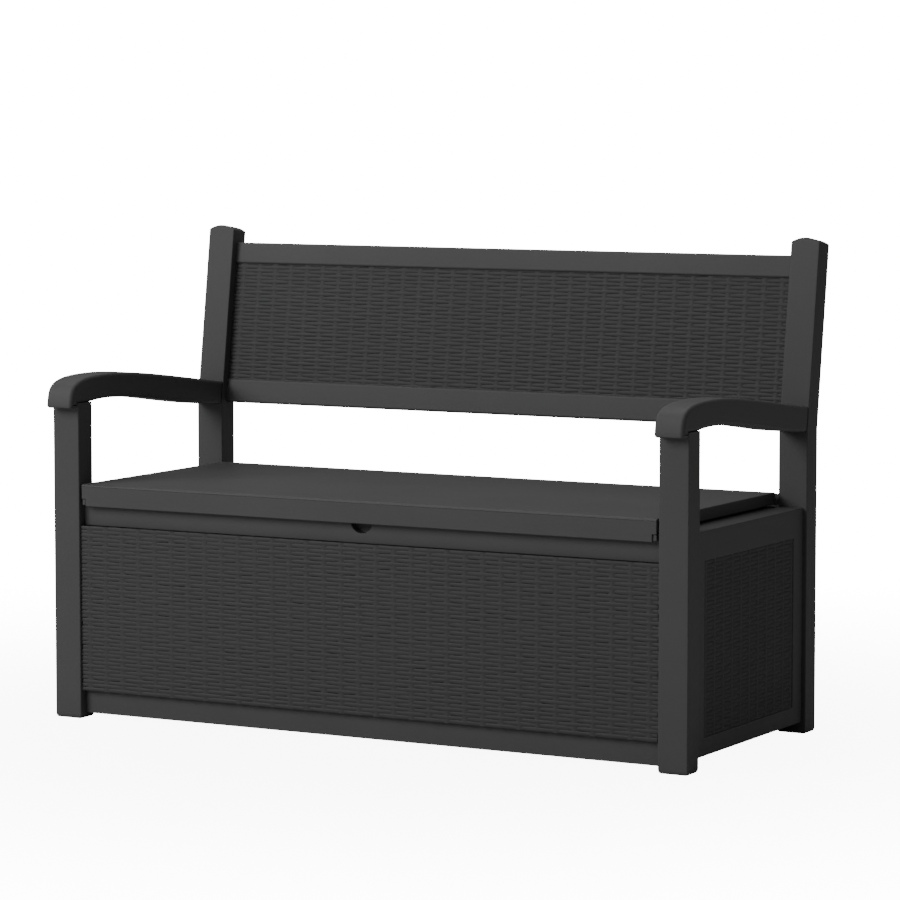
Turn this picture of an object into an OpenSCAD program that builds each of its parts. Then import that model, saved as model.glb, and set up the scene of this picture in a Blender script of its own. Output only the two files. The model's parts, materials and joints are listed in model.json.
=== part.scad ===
// Storage bench: a resin box seat with a hinged lid, arms and a leaning back.
// The box is put together from moulded panels that slide into four hollow posts.
// Millimetres. Seen from the front, +X is to the right, +Y to the back and +Z up.
// The origin is on the floor under the middle of the bench's outer box.

/* [Overall] */
// Width over the outer faces of the posts
bench_w = 1310; // [1000:5:1650]
// Depth at the floor, front face of the front posts to back face of the rear posts
base_d = 542; // [440:1:660]
// Height of the rear posts' tops
back_h = 904; // [820:1:1090]
// Height of the seat surface
seat_h = 441; // [350:1:500]

/* [Posts] */
// Width of every post
post_w = 57; // [48:1:70]
// Depth of every post, front to back
post_d = 45; // [40:1:60]
// Wall of the hollow posts
post_wall = 3; // [2:0.5:5]
// Chamfer round the foot of each post
foot_chamfer = 8; // [2:1:12]
// Solid thickness at the foot of each post
foot_t = 12; // [4:1:30]
// Height at which the rear posts start to lean back
bend_h = 557; // [530:1:640]
// Lean of the back, in degrees
back_lean = 8; // [4:0.5:12]
// Rise of the rounded tops of the rear posts
cap_rise = 8.5; // [4:0.5:14]

/* [Armrests] */
// Height of the highest point of the armrests
arm_h = 641; // [620:1:700]
// How far the rolled front of an arm stands out from its post
arm_overhang = 24; // [10:1:35]
// Thickness of an arm above its front post
arm_front_t = 49.5; // [40:0.5:60]
// Thickness of an arm where it meets the rear post
arm_rear_t = 45.5; // [36:0.5:50]
// Drop of an arm's top from its highest point to the rear post
arm_drop = 41.5; // [30:0.5:44]
// Depth of the lip that hangs in front of the post
arm_lip = 9; // [4:1:16]
// Wall of the hollow arms
arm_wall = 4; // [3:0.5:6]
// Length of the spigot that fits down into the front post
spigot_l = 32; // [15:1:60]

/* [Backrest] */
// Height of the lower rail
low_rail_h = 45.5; // [35:0.5:60]
// Height of the top rail
top_rail_h = 41.5; // [35:0.5:60]
// Thickness of both rails, front to back
rail_t = 22; // [18:1:26]
// Setback of the rails behind the posts' front faces
rail_setback = 15; // [8:1:18]
// Distance of the top rail's upper edge below the posts' tops, along the lean
rail_drop = 32; // [20:1:60]
// Thickness of the woven back panel
weave_t = 9; // [7:0.5:12]
// Setback of the woven panel behind the rails' front faces
weave_setback = 4; // [2:0.5:6]
// Depth of the groove that holds the woven panel in each rail
groove_d = 7; // [4:1:12]

/* [Box panels] */
// Setback of the front panel behind the front posts' front faces
front_setback = 16; // [10:1:18]
// Setback of the side panels behind the posts' outer faces
side_setback = 7.5; // [4:0.5:12]
// Setback of the rear panel in front of the rear posts' back faces
rear_setback = 12; // [6:1:14]
// Skin of the panels
skin = 5; // [4:0.5:6]
// Height of the front panel's lower edge above the floor
front_clear = 10; // [6:1:20]
// Height of the lower edges of the side and rear panels above the floor
side_clear = 22; // [12:1:24]
// Height of the woven fields' lower edge
field_z0 = 54; // [45:1:90]
// Depth of plain border between the rim and the woven fields
field_drop = 52; // [48:1:90]
// Depth by which the woven fields are let into the panels
field_in = 3; // [1:0.5:3.5]
// Depth of the stiffening ribs inside the panels
rib_d = 14; // [8:1:18]
// Thickness of the stiffening ribs
rib_t = 3; // [2:0.5:4]
// Distance between the ribs
rib_pitch = 92; // [70:2:140]
// Length of the tongues that enter the posts, beyond the post wall
tongue_l = 8; // [5:1:12]
// Thickness of the tongues
tongue_t = 8; // [5:0.5:9]
// Height of the floor's upper face
floor_h = 34; // [32:1:44]
// Reach of the lower flanges that carry the floor
floor_flange = 14; // [10:1:20]

/* [Rim and lid] */
// Drop of the rim below the seat surface
rim_drop = 26; // [24:1:32]
// Width of the side ledges, from the panel's outer face inwards
ledge_w = 72; // [66:1:90]
// Reach of the front rim flange
front_flange = 24; // [18:1:30]
// Reach of the rear ledge that carries the hinges
rear_ledge = 54; // [46:1:60]
// Wall of the lid
lid_wall = 4; // [3:0.5:5]
// Gap between each end of the lid and the posts
lid_gap = 4; // [2:0.5:6]
// Gap between the lid's rear edge and the rear posts' front faces
lid_back_gap = 4; // [3:0.5:8]
// Height of the front apron, from the seat surface down
apron_h = 41; // [36:1:46]
// Setback of the apron behind the posts' front faces
apron_setback = 1; // [0:0.5:3]
// Depth of the lid's side and rear skirts, from the seat surface down
skirt_h = 22; // [18:1:23]
// Width of the notch in each lower corner of the apron
notch_w = 8.5; // [6:0.5:14]
// Height of the notch in each lower corner of the apron
notch_h = 13.5; // [8:0.5:18]
// Radius of the half-round finger pull in the front panel
pull_r = 22; // [18:1:30]
// Depth of the finger pull
pull_d = 15; // [10:1:16]
// Width of each stiffening bar in the lid
bar_w = 25; // [16:1:30]
// Height of each stiffening bar in the lid
bar_t = 14; // [10:1:15]
// Wall of the stiffening bars
bar_wall = 1.5; // [1:0.5:2]

/* [Hinges] */
// Distance of the hinge axis below the seat surface
hinge_drop = 13; // [12:0.5:14]
// Distance of the hinge axis in front of the lid's rear edge
hinge_inset = 7; // [6:0.5:8]
// Distance of the outer hinges from the lid's ends
hinge_end = 170; // [80:5:260]
// Outer radius of the knuckles
knuckle_r = 7; // [6:0.5:8]
// Radius of the hinge pins
pin_r = 3; // [2:0.25:4]
// Width of each hinge bracket
hinge_w = 60; // [44:1:80]
// Width of the lid leaf's knuckle
leaf_w = 30; // [18:1:40]

/* [Fits] */
// Radial clearance of a hinge pin in its knuckles
pin_fit = 0.05; // [0.02:0.01:0.1]
// Gap round pieces that slide together and stay put
fit = 0.3; // [0.2:0.05:0.6]
// Gap under the lid where it comes to rest on the rim
rest_gap = 0.5; // [0.3:0.1:1]
// Radius of the post screws
screw_r = 3; // [2:0.25:4]
// Radius of the hinge screws
small_screw_r = 2; // [1.5:0.25:2.5]

/* [Hidden] */
$fn = 48;

// colours of the mouldings and the metal
resin = "#3d3e40";
resin_dark = "#343537";
resin_inside = "#2f3032";
steel = "#b4b6b8";

// places across the width
post_x1 = bench_w / 2;
post_x0 = post_x1 - post_w;
post_mid = post_x1 - post_w / 2;
panel_x = post_x1 - side_setback;
ledge_x = panel_x - ledge_w;
lid_x = post_x0 - lid_gap;

// places front to back, counted from the front posts' front faces
rear_y = base_d - post_d;
rear_face = base_d - rear_setback;
lid_y0 = apron_setback;
lid_y1 = rear_y - lid_back_gap;
hinge_y = lid_y1 - hinge_inset;
front_rim_y = front_setback + front_flange;
rear_rim_y = rear_face - rear_ledge;

// heights
arm_seat = arm_h - arm_front_t;
rim_h = seat_h - rim_drop;
field_z1 = rim_h - field_drop;
hinge_z = seat_h - hinge_drop;
lid_under = seat_h - lid_wall;
flange_z = floor_h - 2 * skin;

// the rearmost point of the bench is the top of a leaning post
lean_y = base_d + tan(back_lean) * (back_h - bend_h);
back_y = lean_y - post_d * pow(sin(back_lean), 2);
mid_y = (back_y - arm_overhang) / 2;

// rails, measured along the lean from the bend
lean_l = (back_h - bend_h) / cos(back_lean);
low_v0 = 3;
low_v1 = low_v0 + low_rail_h;
top_v1 = lean_l - rail_drop;
top_v0 = top_v1 - top_rail_h;
post_lean_d = post_d * cos(back_lean);
tenon_l = 16;
tenon_t = rail_t - 8;

// tongues of the panels, where they pass through the post walls
front_tongue = front_setback + skin;
rear_tongue = rear_face - skin - tongue_t;
side_tongue = panel_x - skin - tongue_t;
tongue_z0 = floor_h;
tongue_z1 = rim_h - 20;

// hinges and lid
hinge_xs = [-(lid_x - hinge_end), 0, lid_x - hinge_end];
plate_t = 3;
bracket_d = 30;
upstand_y = hinge_y - knuckle_r + bracket_d + 1;
leaf_d = 38;
inner_y0 = front_rim_y - 16;
inner_y1 = hinge_y - leaf_d - 4;
inner_x = lid_x - lid_wall - 3;
bar_ys = [inner_y0 + 110, inner_y1 - 90];
bar_l = 2 * inner_x - 24;
sheet_t = 3;
screw_head_r = 2 * screw_r;

// ---------- helpers ----------

// moves a piece drawn from the front posts' front faces into the bench's frame
module in_frame() {
    translate([0, -mid_y, 0]) children();
}

// frame of the leaning back: origin at the bend, on the posts' front faces
module in_lean() {
    translate([0, rear_y, bend_h]) rotate([-back_lean, 0, 0]) children();
}

// a box between two corners
module block(low, high) {
    translate(low) cube(high - low);
}

// a side outline in Y and Z, made solid from x0 to x1
module along_x(x0, x1) {
    translate([x0, 0, 0]) rotate([90, 0, 90]) linear_extrude(x1 - x0) children();
}

// a front outline in X and Z, made solid from y0 to y1
module along_y(y0, y1) {
    translate([0, y1, 0]) rotate([90, 0, 0]) linear_extrude(y1 - y0) children();
}

// a round bar along X
module rod_x(x0, x1, y, z, r) {
    translate([x0, y, z]) rotate([0, 90, 0]) cylinder(r = r, h = x1 - x0);
}

// a round bar along Y
module rod_y(y0, y1, x, z, r) {
    translate([x, y1, z]) rotate([90, 0, 0]) cylinder(r = r, h = y1 - y0);
}

// the same piece on the other side of the bench
module other_side() {
    mirror([1, 0, 0]) children();
}

// points of a cubic curve
function curve(a, b, c, d, n) = [for (i = [0:n]) let (t = i / n)
    pow(1 - t, 3) * a + 3 * pow(1 - t, 2) * t * b + 3 * (1 - t) * t * t * c + t * t * t * d];

// ---------- posts ----------

// outline with chamfered lower corners, from a to b, up to height h
module foot_outline(a, b, h) {
    c = foot_chamfer;
    polygon([[a + c, 0], [b - c, 0], [b, c], [b, h], [a, h], [a, c]]);
}

// slot through a post's inner wall for a tongue that starts at y
module slot_inner(y) {
    block([post_x0 - 1, y - fit, tongue_z0 - fit],
          [post_x0 + post_wall + 1, y + tongue_t + fit, tongue_z1 + fit]);
}

// slot through the wall that faces the side panel, between y0 and y1
module slot_side(y0, y1) {
    block([side_tongue - fit, y0, tongue_z0 - fit],
          [side_tongue + tongue_t + fit, y1, tongue_z1 + fit]);
}

module front_post_shape() {
    difference() {
        intersection() {
            along_x(post_x0, post_x1) foot_outline(0, post_d, arm_seat);
            along_y(0, post_d) foot_outline(post_x0, post_x1, arm_seat);
        }
        block([post_x0 + post_wall, post_wall, foot_t],
              [post_x1 - post_wall, post_d - post_wall, arm_seat + 1]);
        slot_inner(front_tongue);
        slot_side(post_d - post_wall - 1, post_d + 1);
    }
}

// side outline of a rear post, drawn past its top
module rear_outline(inset, z0, z1) {
    shift = tan(back_lean) * (z1 - bend_h);
    polygon([[rear_y + inset, z0], [base_d - inset, z0], [base_d - inset, bend_h],
             [base_d - inset + shift, z1], [rear_y + inset + shift, z1],
             [rear_y + inset, bend_h]]);
}

// what lies above the rounded top of a rear post
module cap_cutter() {
    r = (pow(post_w / 2, 2) + pow(cap_rise, 2)) / (2 * cap_rise);
    translate([post_mid, rear_y, bend_h]) rotate([-back_lean, 0, 0])
        difference() {
            block([-post_w, -post_d, lean_l - cap_rise - 4], [post_w, 3 * post_d, lean_l + 60]);
            rod_y(-2 * post_d, 4 * post_d, 0, lean_l - r, r, $fn = 96);
        }
}

// mortises and screw holes that a rear post shares with the back and the arm
module rear_post_joints() {
    in_lean() {
        for (v = [[low_v0, low_v1], [top_v0, top_v1]]) {
            block([post_x0 - 1, rail_setback + 4 - fit, v[0] + 6 - fit],
                  [post_x0 + post_wall + 1, rail_setback + 4 + tenon_t + fit, v[1] - 6 + fit]);
            rod_y(post_lean_d - 2 * post_wall, post_lean_d + 9,
                  post_x0 + tenon_l / 2 + 3, (v[0] + v[1]) / 2, screw_r + fit);
        }
        rod_y(-9, post_lean_d + 9, post_mid, arm_screw_v, screw_r + fit);
    }
}

module rear_post_shape() {
    difference() {
        intersection() {
            difference() {
                along_x(post_x0, post_x1) rear_outline(0, 0, back_h + 20);
                cap_cutter();
            }
            along_x(post_x0, post_x1) polygon([
                [rear_y + foot_chamfer, 0], [base_d - foot_chamfer, 0],
                [base_d, foot_chamfer], [base_d + 200, back_h + 20],
                [rear_y, back_h + 20], [rear_y, foot_chamfer]]);
            along_y(rear_y, back_y + 50) foot_outline(post_x0, post_x1, back_h + 20);
        }
        along_x(post_x0 + post_wall, post_x1 - post_wall)
            rear_outline(post_wall, foot_t, back_h - 2 * foot_t);
        slot_inner(rear_tongue);
        slot_side(rear_y - 1, rear_y + post_wall + 1);
        rear_post_joints();
    }
}

module left_front_post() {
    color(resin) in_frame() other_side() front_post_shape();
}

module right_front_post() {
    color(resin) in_frame() front_post_shape();
}

module left_rear_post() {
    color(resin) in_frame() other_side() rear_post_shape();
}

module right_rear_post() {
    color(resin) in_frame() rear_post_shape();
}

// ---------- box panels ----------

// ribs side by side along X, standing between y0 and y1
module ribs_along_x(half, y0, y1, z0, z1) {
    count = floor((half - 20) / rib_pitch);
    for (i = [-count:count])
        block([i * rib_pitch - rib_t / 2, y0, z0], [i * rib_pitch + rib_t / 2, y1, z1]);
}

// half-round space of the finger pull, open upwards to the rim flange
module pull_pocket(r, y0, y1) {
    pull_z = rim_h - skin - 7;
    intersection() {
        rod_y(y0, y1, 0, pull_z, r);
        block([-r - 1, y0, pull_z - r - 1], [r + 1, y1, pull_z]);
    }
    block([-r, y0, pull_z], [r, y1, rim_h - skin]);
}

// lug that stands in the notch of the lid's apron
module lid_lug() {
    low = seat_h - apron_h + 2;
    high = seat_h - apron_h + notch_h - 0.5;
    x1 = lid_x - 1;
    block([x1 - notch_w + 1.5, apron_setback + 2, low], [x1, front_setback + 1, high]);
}

module front_panel() {
    half = post_x0 - fit;
    back = front_setback + skin;
    color(resin_dark) in_frame() difference() {
        union() {
            difference() {
                block([-half, front_setback, front_clear], [half, back, rim_h]);
                block([-half - 1, front_setback - 1, field_z0],
                      [half + 1, front_setback + field_in, field_z1]);
            }
            block([-half, front_setback, rim_h - skin], [half, front_rim_y, rim_h]);
            block([-half, front_setback, flange_z], [half, back + floor_flange, flange_z + skin]);
            for (s = [-1, 1])
                block([s < 0 ? -half - post_wall - tongue_l : half - 12, front_tongue, tongue_z0],
                      [s < 0 ? -half + 12 : half + post_wall + tongue_l,
                       front_tongue + tongue_t, tongue_z1]);
            ribs_along_x(half, back - 1, back + rib_d, floor_h + 1, rim_h - skin);
            pull_pocket(pull_r + skin, back - 1, front_setback + pull_d + skin);
            lid_lug();
            other_side() lid_lug();
        }
        pull_pocket(pull_r, front_setback - 1, front_setback + pull_d);
    }
}

module rear_panel() {
    half = post_x0 - fit;
    inner = rear_face - skin;
    color(resin_dark) in_frame() union() {
        difference() {
            block([-half, inner, side_clear], [half, rear_face, rim_h]);
            block([-half + 40, rear_face - field_in, field_z0],
                  [half - 40, rear_face + 1, field_z1]);
        }
        block([-half, rear_y + fit, rim_h - skin], [half, rear_face, rim_h]);
        block([-half, upstand_y, rim_h - 1], [half, upstand_y + skin, lid_under]);
        block([-ledge_x + fit, rear_rim_y, rim_h - skin], [ledge_x - fit, rear_y + 1, rim_h]);
        block([-half, inner - floor_flange, flange_z], [half, inner + 1, flange_z + skin]);
        for (s = [-1, 1])
            block([s < 0 ? -half - post_wall - tongue_l : half - 12, rear_tongue, tongue_z0],
                  [s < 0 ? -half + 12 : half + post_wall + tongue_l, rear_tongue + tongue_t,
                   tongue_z1]);
        ribs_along_x(half, inner - rib_d, inner + 1, floor_h + 1, rim_h - skin);
    }
}

// one side panel, for the +X side
module side_panel_shape() {
    y0 = post_d + fit;
    y1 = rear_y - fit;
    inner = panel_x - skin;
    count = floor((y1 - y0) / rib_pitch);
    step = (y1 - y0) / (count + 1);
    difference() {
        block([inner, y0, side_clear], [panel_x, y1, rim_h]);
        block([panel_x - field_in, y0 + 36, field_z0], [panel_x + 1, y1 - 40, field_z1]);
    }
    block([post_x0, y0, rim_h - skin], [panel_x, y1, rim_h]);
    block([ledge_x, front_rim_y + fit, rim_h - skin], [post_x0 - fit, y0, rim_h]);
    block([ledge_x, y0, rim_h - skin], [post_x0 + 1, rear_rim_y - fit, rim_h]);
    block([ledge_x, y0, rim_h - 5 * skin], [ledge_x + skin, rear_rim_y - fit, rim_h]);
    block([inner - floor_flange, y0, flange_z], [inner + 1, y1, flange_z + skin]);
    block([side_tongue, y0 - post_wall - tongue_l, tongue_z0],
          [side_tongue + tongue_t, y0 + 12, tongue_z1]);
    block([side_tongue, y1 - 12, tongue_z0],
          [side_tongue + tongue_t, y1 + post_wall + tongue_l, tongue_z1]);
    for (i = [1:count]) {
        y = y0 + i * step;
        block([inner - rib_d, y - rib_t / 2, floor_h + 1], [inner + 1, y + rib_t / 2, rim_h - skin]);
        along_y(y - rib_t / 2, y + rib_t / 2) polygon([
            [ledge_x + skin - 1, rim_h - skin + 1], [inner + 1, rim_h - skin + 1],
            [inner + 1, rim_h - 70], [inner - rib_d, rim_h - 70],
            [ledge_x + skin - 1, rim_h - 4 * skin]]);
    }
}

module left_side_panel() {
    color(resin_dark) in_frame() other_side() side_panel_shape();
}

module right_side_panel() {
    color(resin_dark) in_frame() side_panel_shape();
}

module floor_panel() {
    y0 = front_setback + skin + fit;
    y1 = rear_face - skin - fit;
    wide = panel_x - skin - fit;
    narrow = post_x0 - fit;
    top = floor_h;
    rib_y0 = y0 + floor_flange + 6;
    rib_y1 = y1 - floor_flange - 6;
    color(resin_inside) in_frame() union() {
        block([-narrow, y0, top - skin], [narrow, y1, top]);
        block([-wide, post_d + fit, top - skin], [wide, rear_y - fit, top]);
        ribs_along_x(narrow, rib_y0, rib_y1, side_clear, top - skin + 1);
        for (y = [rib_y0, (rib_y0 + rib_y1) / 2, rib_y1 - rib_t])
            block([-narrow + 20, y, side_clear], [narrow - 20, y + rib_t, top - skin + 1]);
    }
}

// ---------- armrests ----------

arm_rear_top = arm_h - arm_drop;
arm_rear_low = arm_rear_top - arm_rear_t;
arm_screw_v = (arm_rear_top + arm_rear_low) / 2 - bend_h;
arm_tail = 27;

// upper line of an arm, from the roll back to the rear post, moved in by i
function arm_top(i) = concat(
    curve([-arm_overhang + i, arm_seat - 3.5 + i], [-arm_overhang + 5.5 + i, arm_h - 16 - i],
          [-arm_overhang + 5 + i, arm_h - i], [post_d + 55, arm_h - i], 14),
    curve([post_d + 55, arm_h - i], [post_d + 160, arm_h - i],
          [rear_y - 150, arm_rear_top + 18.5 - i], [rear_y - i, arm_rear_top - i], 14));

// lower line of an arm, from the rear post forward to the front post, moved in by i
function arm_low(i) = curve([rear_y - fit - i, arm_rear_low + i],
    [rear_y - 169, arm_rear_low + 9.5 + i], [post_d + 123, arm_seat + 14.5 + i],
    [post_d, arm_seat + i], 14);

module arm_shape() {
    lean_shift = tan(back_lean) * (arm_rear_top - bend_h);
    difference() {
        union() {
            along_x(post_x0, post_x1) polygon(concat(arm_top(0),
                [[rear_y - fit + lean_shift, arm_rear_top], [rear_y - fit, bend_h]], arm_low(0),
                [[-fit, arm_seat], [-fit, arm_seat - arm_lip], [4 - arm_overhang, arm_seat - arm_lip]]));
            block([post_x0 + post_wall + fit, post_wall + fit, arm_seat - spigot_l],
                  [post_x1 - post_wall - fit, post_d - post_wall - fit, arm_seat + 1]);
        }
        intersection() {
            along_x(post_x0 + arm_wall, post_x1 - arm_wall)
                polygon(concat(arm_top(arm_wall), arm_low(arm_wall)));
            block([post_x0, -arm_overhang, arm_seat - 90], [post_x1, rear_y - arm_tail, arm_h]);
        }
        translate([post_mid, post_d / 2, arm_seat - spigot_l - 1]) cylinder(r = 12, h = spigot_l + 9);
        in_lean() rod_y(-arm_tail + 4, 20, post_mid, arm_screw_v, screw_r + pin_fit);
    }
}

module left_armrest() {
    color(resin) in_frame() other_side() arm_shape();
}

module right_armrest() {
    color(resin) in_frame() arm_shape();
}

// ---------- backrest ----------

// a rail along the bench, with a tenon at each end and a groove for the panel
module rail(v0, v1, groove_v) {
    half = post_x0 - fit;
    end = post_x0 + tenon_l;
    ty = rail_setback + 4;
    groove_y = rail_setback + weave_setback;
    difference() {
        union() {
            block([-half, rail_setback, v0], [half, rail_setback + rail_t, v1]);
            block([-end, ty, v0 + 6], [end, ty + tenon_t, v1 - 6]);
        }
        block([-half - 1, groove_y - fit, groove_v], [half + 1, groove_y + weave_t + fit,
              groove_v + groove_d]);
        for (s = [-1, 1])
            rod_y(ty - 1, ty + tenon_t + 1, s * (post_x0 + tenon_l / 2 + 3), (v0 + v1) / 2,
                  screw_r + pin_fit);
    }
}

module backrest_low_rail() {
    color(resin) in_frame() in_lean() rail(low_v0, low_v1, low_v1 - groove_d);
}

module backrest_top_rail() {
    color(resin) in_frame() in_lean() rail(top_v0, top_v1, top_v0);
}

module backrest_panel() {
    half = post_x0 - fit;
    y = rail_setback + weave_setback;
    color(resin_dark) in_frame() in_lean()
        block([-half, y, low_v1 - groove_d + fit], [half, y + weave_t, top_v0 + groove_d - fit]);
}

// ---------- hinges ----------

// fixed bracket: a foot on the rear ledge and two knuckles
module bracket_at(x) {
    y0 = hinge_y - knuckle_r;
    inner = leaf_w / 2 + 0.5;
    translate([x, 0, 0]) difference() {
        union() {
            block([-hinge_w / 2, y0, rim_h], [hinge_w / 2, y0 + bracket_d, rim_h + plate_t]);
            for (s = [-hinge_w / 2, inner]) {
                rod_x(s, s + hinge_w / 2 - inner, hinge_y, hinge_z, knuckle_r);
                block([s, y0, rim_h], [s + hinge_w / 2 - inner, hinge_y + knuckle_r, hinge_z]);
            }
        }
        rod_x(-hinge_w, hinge_w, hinge_y, hinge_z, pin_r + pin_fit);
        bracket_screw_places() cylinder(r = small_screw_r + fit, h = plate_t + 2);
    }
}

module bracket_screw_places() {
    for (s = [-1, 1])
        translate([s * (hinge_w / 2 - 8), hinge_y - knuckle_r + bracket_d - 6, rim_h - 1]) children();
}

module pin_at(x) {
    rod_x(x - hinge_w / 2 - 1, x + hinge_w / 2 + 1, hinge_y, hinge_z, pin_r);
    rod_x(x - hinge_w / 2 - 3, x - hinge_w / 2 - 0.5, hinge_y, hinge_z, pin_r + 2);
}

// moving leaf: a plate under the lid's skin and one knuckle
module leaf_at(x) {
    translate([x, 0, 0]) difference() {
        union() {
            rod_x(-leaf_w / 2, leaf_w / 2, hinge_y, hinge_z, knuckle_r);
            block([-leaf_w / 2, hinge_y - leaf_d, lid_under - 2 * plate_t],
                  [leaf_w / 2, hinge_y, lid_under]);
        }
        rod_x(-leaf_w, leaf_w, hinge_y, hinge_z, pin_r + pin_fit);
        leaf_screw_places() cylinder(r = small_screw_r + fit, h = 2 * plate_t + 2);
    }
}

module leaf_screw_places() {
    for (s = [-1, 1])
        translate([s * (leaf_w / 2 - 7), hinge_y - leaf_d + 10, lid_under - 2 * plate_t - 1]) children();
}

module left_hinge_bracket() {
    color(resin_inside) in_frame() bracket_at(hinge_xs[0]);
}

module centre_hinge_bracket() {
    color(resin_inside) in_frame() bracket_at(hinge_xs[1]);
}

module right_hinge_bracket() {
    color(resin_inside) in_frame() bracket_at(hinge_xs[2]);
}

module left_hinge_pin() {
    color(steel) in_frame() pin_at(hinge_xs[0]);
}

module centre_hinge_pin() {
    color(steel) in_frame() pin_at(hinge_xs[1]);
}

module right_hinge_pin() {
    color(steel) in_frame() pin_at(hinge_xs[2]);
}

module left_lid_leaf() {
    color(resin_inside) in_frame() leaf_at(hinge_xs[0]);
}

module centre_lid_leaf() {
    color(resin_inside) in_frame() leaf_at(hinge_xs[1]);
}

module right_lid_leaf() {
    color(resin_inside) in_frame() leaf_at(hinge_xs[2]);
}

// ---------- screws ----------

// a pan-head screw along -Y whose head sits on the plane y
module post_screw(x, y, z, length) {
    rod_y(y - length, y + 0.5, x, z, screw_r);
    rod_y(y, y + 3.5, x, z, screw_head_r);
}

module arm_screws() {
    color(steel) in_frame() in_lean() for (s = [-1, 1])
        post_screw(s * post_mid, post_lean_d, arm_screw_v, post_lean_d + arm_tail - 6);
}

module backrest_screws() {
    reach = post_lean_d - rail_setback - 7;
    color(steel) in_frame() in_lean() for (s = [-1, 1], v = [low_v0 + low_v1, top_v0 + top_v1])
        post_screw(s * (post_x0 + tenon_l / 2 + 3), post_lean_d, v / 2, reach);
}

module bracket_screws() {
    color(steel) in_frame() for (x = hinge_xs) translate([x, 0, 0])
        bracket_screw_places() {
            translate([0, 0, 1.1]) cylinder(r = small_screw_r, h = plate_t + 0.5);
            translate([0, 0, plate_t + 1]) cylinder(r = 2 * small_screw_r, h = 2);
        }
}

module leaf_screws() {
    color(steel) in_frame() for (x = hinge_xs) translate([x, 0, 0])
        leaf_screw_places() {
            translate([0, 0, 0.5]) cylinder(r = small_screw_r, h = 2 * plate_t + 0.4);
            translate([0, 0, -1]) cylinder(r = 2 * small_screw_r, h = 2);
        }
}

// ---------- lid ----------

module seat_lid() {
    apron_x = lid_x - 0.5;
    low = seat_h - apron_h;
    skirt = seat_h - skirt_h;
    round_r = 5;
    color(resin) in_frame() difference() {
        union() {
            along_x(-lid_x, lid_x) difference() {
                union() {
                    translate([lid_y0, lid_under]) square([lid_y1 - lid_y0, lid_wall]);
                    translate([lid_y0, seat_h - round_r]) square([round_r + 2, round_r]);
                }
                translate([lid_y0, seat_h - round_r]) difference() {
                    translate([-1, 0]) square([round_r + 1, round_r + 1]);
                    translate([round_r, 0]) circle(r = round_r);
                }
            }
            along_y(lid_y0, lid_y0 + lid_wall) polygon([
                [-apron_x + notch_w, low], [apron_x - notch_w, low],
                [apron_x - notch_w, low + notch_h], [apron_x, low + notch_h],
                [apron_x, seat_h - round_r], [-apron_x, seat_h - round_r],
                [-apron_x, low + notch_h], [-apron_x + notch_w, low + notch_h]]);
            block([-apron_x, lid_y0 + 0.5, seat_h - round_r - 1],
                  [apron_x, lid_y0 + round_r + 2, lid_under + 0.5]);
            for (s = [-lid_x, lid_x - lid_wall])
                block([s, lid_y0 + lid_wall, skirt], [s + lid_wall, lid_y1, lid_under + 1]);
            block([-lid_x, lid_y1 - lid_wall, skirt], [lid_x, lid_y1, lid_under + 1]);
        }
        for (x = hinge_xs)
            block([x - hinge_w / 2 - 4, lid_y1 - lid_wall - 1, skirt - 1],
                  [x + hinge_w / 2 + 4, lid_y1 + 1, lid_under]);
    }
}

// ribbed sheet that closes the lid from below and takes the sitters' weight
module lid_inner_panel() {
    z0 = rim_h + rest_gap;
    color(resin_inside) in_frame() difference() {
        union() {
            block([-inner_x, inner_y0, z0], [inner_x, inner_y1, z0 + sheet_t]);
            ribs_along_x(inner_x, inner_y0, inner_y1, z0, lid_under);
            for (y = [inner_y0, inner_y1 - rib_t])
                block([-inner_x, y, z0], [inner_x, y + rib_t, lid_under]);
            for (s = [-inner_x, inner_x - rib_t])
                block([s, inner_y0, z0], [s + rib_t, inner_y1, lid_under]);
        }
        for (y = bar_ys) bar_space(y, fit);
    }
}

// space taken by a stiffening bar that starts at y, grown by g
module bar_space(y, g) {
    z = rim_h + rest_gap + sheet_t + fit;
    block([-bar_l / 2 - g, y - g, z - g], [bar_l / 2 + g, y + bar_w + g, z + bar_t + g]);
}

module lid_bar(y) {
    difference() {
        bar_space(y, 0);
        block(
            [-bar_l, y + bar_wall, rim_h + rest_gap + sheet_t + fit + bar_wall],
            [bar_l, y + bar_w - bar_wall, rim_h + rest_gap + sheet_t + fit + bar_t - bar_wall]);
    }
}

module front_lid_bar() {
    color(steel) in_frame() lid_bar(bar_ys[0]);
}

module rear_lid_bar() {
    color(steel) in_frame() lid_bar(bar_ys[1]);
}

left_front_post();
right_front_post();
left_rear_post();
right_rear_post();
front_panel();
rear_panel();
left_side_panel();
right_side_panel();
floor_panel();
left_armrest();
right_armrest();
backrest_low_rail();
backrest_top_rail();
backrest_panel();
left_hinge_bracket();
centre_hinge_bracket();
right_hinge_bracket();
left_hinge_pin();
centre_hinge_pin();
right_hinge_pin();
arm_screws();
backrest_screws();
bracket_screws();
seat_lid();
lid_inner_panel();
front_lid_bar();
rear_lid_bar();
left_lid_leaf();
centre_lid_leaf();
right_lid_leaf();
leaf_screws();
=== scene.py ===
"""Storage bench in moulded resin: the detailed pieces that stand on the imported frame."""
import json
import math

import bmesh
import bpy
from mathutils import Matrix, Vector

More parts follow.
